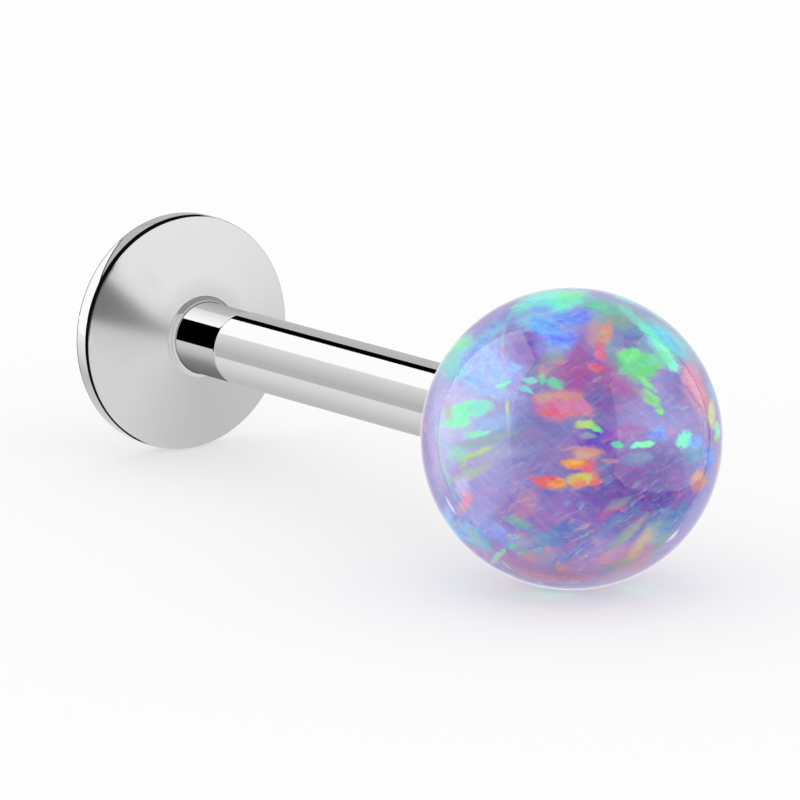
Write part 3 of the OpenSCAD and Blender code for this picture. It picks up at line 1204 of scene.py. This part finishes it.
capLight = {
    "wedge": (3.4, -13.3),  # a point on the upper part's slanting edge
    "slant": 0.85,
    "upperFrom": (-1, 1),
    "lower": 0.78,
    "lowerFrom": (16.3, 18.3),
    "halfway": (0.5, 0.4),  # the wedge ends at these brightnesses of the upper and the lower part
    "dark": 0.21,
    "farBright": 0.75,
    "farFrom": -28,
    "rim": (63, 61),
}


def capPattern(glow):  # a dark wedge near the line, between an upper and a lower part
    u, v = glow.spread()
    u = (u - 0.5) * bands["endSize"]
    v = (v - 0.5) * bands["endSize"]
    past = (v - capLight["wedge"][1]) + (u - capLight["wedge"][0]) * capLight["slant"]
    above = glow.ramp(past, *capLight["upperFrom"], 1.0, 0, "LINEAR")
    below = glow.ramp(v, *capLight["lowerFrom"], 0, capLight["lower"], "LINEAR")
    inside = (above < capLight["halfway"][0]) * (below < capLight["halfway"][1])
    wedge = inside * ((u < capLight["farFrom"]) * capLight["farBright"] + capLight["dark"])
    return (above + below + wedge) * glow.ramp((u * u + v * v) ** 0.5, *capLight["rim"])


endPanel("cap", discOnly, True, capPattern)

# round the ball: two side windows, the pale ground behind it, two small highlights, fill from below


def facePanel(name, spot, facing, width, height, bright, seen="glossy", upHint=faceY):
    # spot in mm along the face's axes from the ball's centre; the panel shines towards the ball from facing
    back = (faceX * facing[0] + faceY * facing[1] + faceZ * facing[2]).normalized()
    across = upHint.cross(back).normalized()
    place = ballCentre + (faceX * spot[0] + faceY * spot[1] + faceZ * spot[2]) * mm
    panel(name, place, across, back.cross(across), width, height, bright, ballOnly, seen)


windows = {
    "left": (92, 186),
    "leftFrom": (0.1, 0.6),
    "leftBright": (0.8, 1.9),  # below and above
    "right": (132, 140),
    "rightBright": 1.25,
    "rightLow": -59.2,  # the right window's lower edge, and how far it slants over the window's width
    "rightSlant": 49,
    "glint": (12, 14),
    "glintFrom": (0.5, 0.15),
    "glintBright": 2.4,
    "ground": 240,
    "groundLeft": (-92, -91),
    "groundRight": (71, 70),
    "groundTop": (85, 35),
    "groundBottom": (-85, -35),
    "groundBright": 0.66,
    "middleFrom": (36, 8),
    "middleBright": 0.4,
    "fill": 160,
    "fillBright": 0.45,
}


def leftPattern(glow):  # brighter above
    return glow.ramp(glow.spread()[1], *windows["leftFrom"], *windows["leftBright"])


def rightPattern(glow):  # its lower edge slants
    u, v = glow.spread()
    past = (v - 0.5) * windows["right"][1] + (0.5 - u) * windows["rightSlant"]
    return (past > windows["rightLow"]) * windows["rightBright"]


def glintPattern(glow):  # brightest in the middle
    u, v = glow.spread()
    far = ((u - 0.5) * (u - 0.5) + (v - 0.5) * (v - 0.5)) ** 0.5
    return glow.ramp(far, *windows["glintFrom"], 0, windows["glintBright"])


def groundPattern(glow):  # the pale ground behind the ball
    u, v = glow.spread()
    x = (0.5 - u) * windows["ground"]
    y = (v - 0.5) * windows["ground"]
    middle = (x * x + y * y) ** 0.5
    inside = glow.ramp(x, *windows["groundLeft"]) * glow.ramp(x, *windows["groundRight"])
    inside = inside * glow.ramp(y, *windows["groundTop"]) * glow.ramp(y, *windows["groundBottom"])
    behind = glow.ramp(middle, *windows["middleFrom"], 0, windows["middleBright"])
    return inside * windows["groundBright"] + behind


facePanel("leftWindow", (-60, 36, 10), (-1, 0, 0), *windows["left"], leftPattern)
facePanel("rightWindow", (60, 18, 21), (1, 0, 0), *windows["right"], rightPattern)
facePanel("behind", (0, 0, -60), (0, 0, -1), windows["ground"], windows["ground"], groundPattern)
facePanel("leftGlint", (-66.6, -37, -64.7), (-0.666, -0.37, -0.647), *windows["glint"], glintPattern)
facePanel("rightGlint", (51.9, -49.6, -69.6), (0.519, -0.496, -0.696), *windows["glint"], glintPattern)
fillSize = (windows["fill"], windows["fill"])
facePanel("fill", (0, -80, 30), (0, -1, 0.4), *fillSize, windows["fillBright"], "diffuse", faceZ)

for obj in (discPiece, collarPiece, neckPiece, postPiece, pinPiece, ballPiece):
    obj.visible_glossy = False


def makeWorld():
    world = bpy.data.worlds.new("studio")
    world.use_nodes = True
    sky = world.node_tree.nodes["Background"].inputs
    sky["Color"].default_value = (1, 1, 1, 1)
    sky["Strength"].default_value = 1.0
    bpy.context.scene.world = world
    world.cycles_visibility.glossy = False


makeWorld()
bpy.context.scene.view_settings.view_transform = "Standard"
print("lights are set")
